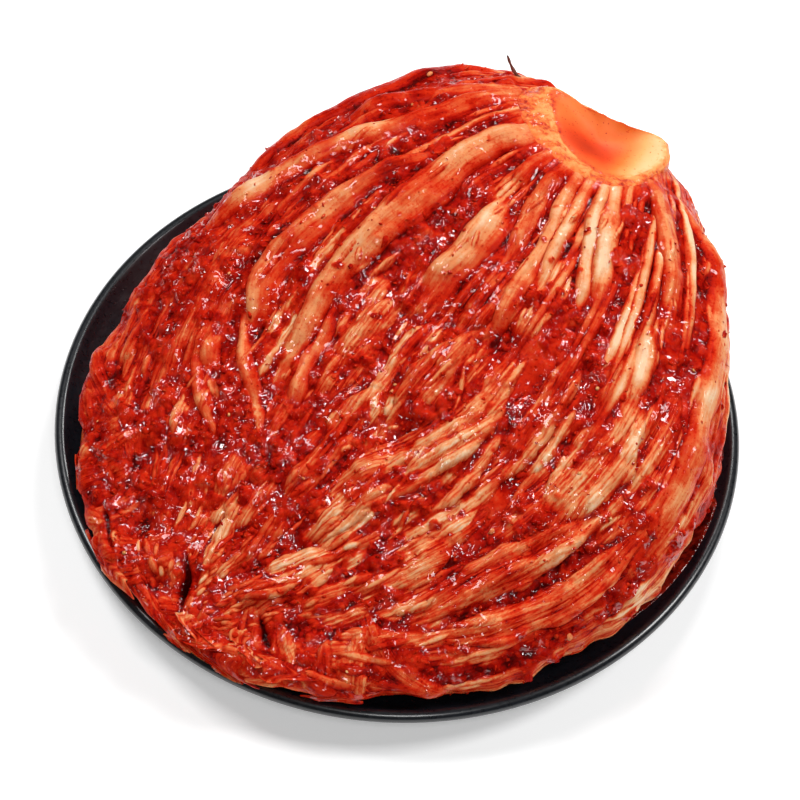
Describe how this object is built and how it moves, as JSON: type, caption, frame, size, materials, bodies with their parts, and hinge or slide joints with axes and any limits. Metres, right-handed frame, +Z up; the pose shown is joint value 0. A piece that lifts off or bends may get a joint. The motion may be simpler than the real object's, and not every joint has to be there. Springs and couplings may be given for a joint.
{
  "type": "whole-cabbage kimchi on a plate",
  "caption": "Half head of whole-cabbage kimchi, cut side up, its leaves fanned out from the stump over a round black plate.",
  "frame": {"origin": "centre of the plate's flat foot, on the table", "axes": "+Z up; the stump lies towards +X+Y and the leaf tips towards -X-Y"},
  "size_m": [0.28, 0.2878, 0.1043],
  "materials": {
    "plate_glaze": "satin black glaze",
    "stump_core": "smooth wet cabbage core, stained orange",
    "leaf_flesh": "wet fermented cabbage leaf, stained red with pale ribs",
    "chilli_paste": "glossy chilli seasoning with flakes"
  },
  "bodies": {
    "root": {"plate": "plate_glaze", "stump": "stump_core", "leaf_01": "leaf_flesh", "leaf_02": "leaf_flesh", "leaf_03": "leaf_flesh", "leaf_04": "leaf_flesh", "leaf_05": "leaf_flesh", "leaf_06": "leaf_flesh", "leaf_07": "leaf_flesh", "leaf_08": "leaf_flesh", "leaf_09": "leaf_flesh", "leaf_10": "leaf_flesh", "leaf_11": "leaf_flesh", "leaf_12": "leaf_flesh", "leaf_13": "leaf_flesh", "leaf_14": "leaf_flesh", "leaf_15": "leaf_flesh", "leaf_16": "leaf_flesh", "leaf_tip_01": "leaf_flesh", "leaf_tip_02": "leaf_flesh", "leaf_tip_03": "leaf_flesh", "leaf_tip_04": "leaf_flesh", "leaf_tip_05": "leaf_flesh", "leaf_tip_06": "leaf_flesh", "leaf_tip_07": "leaf_flesh"}
  },
  "joints": []
}
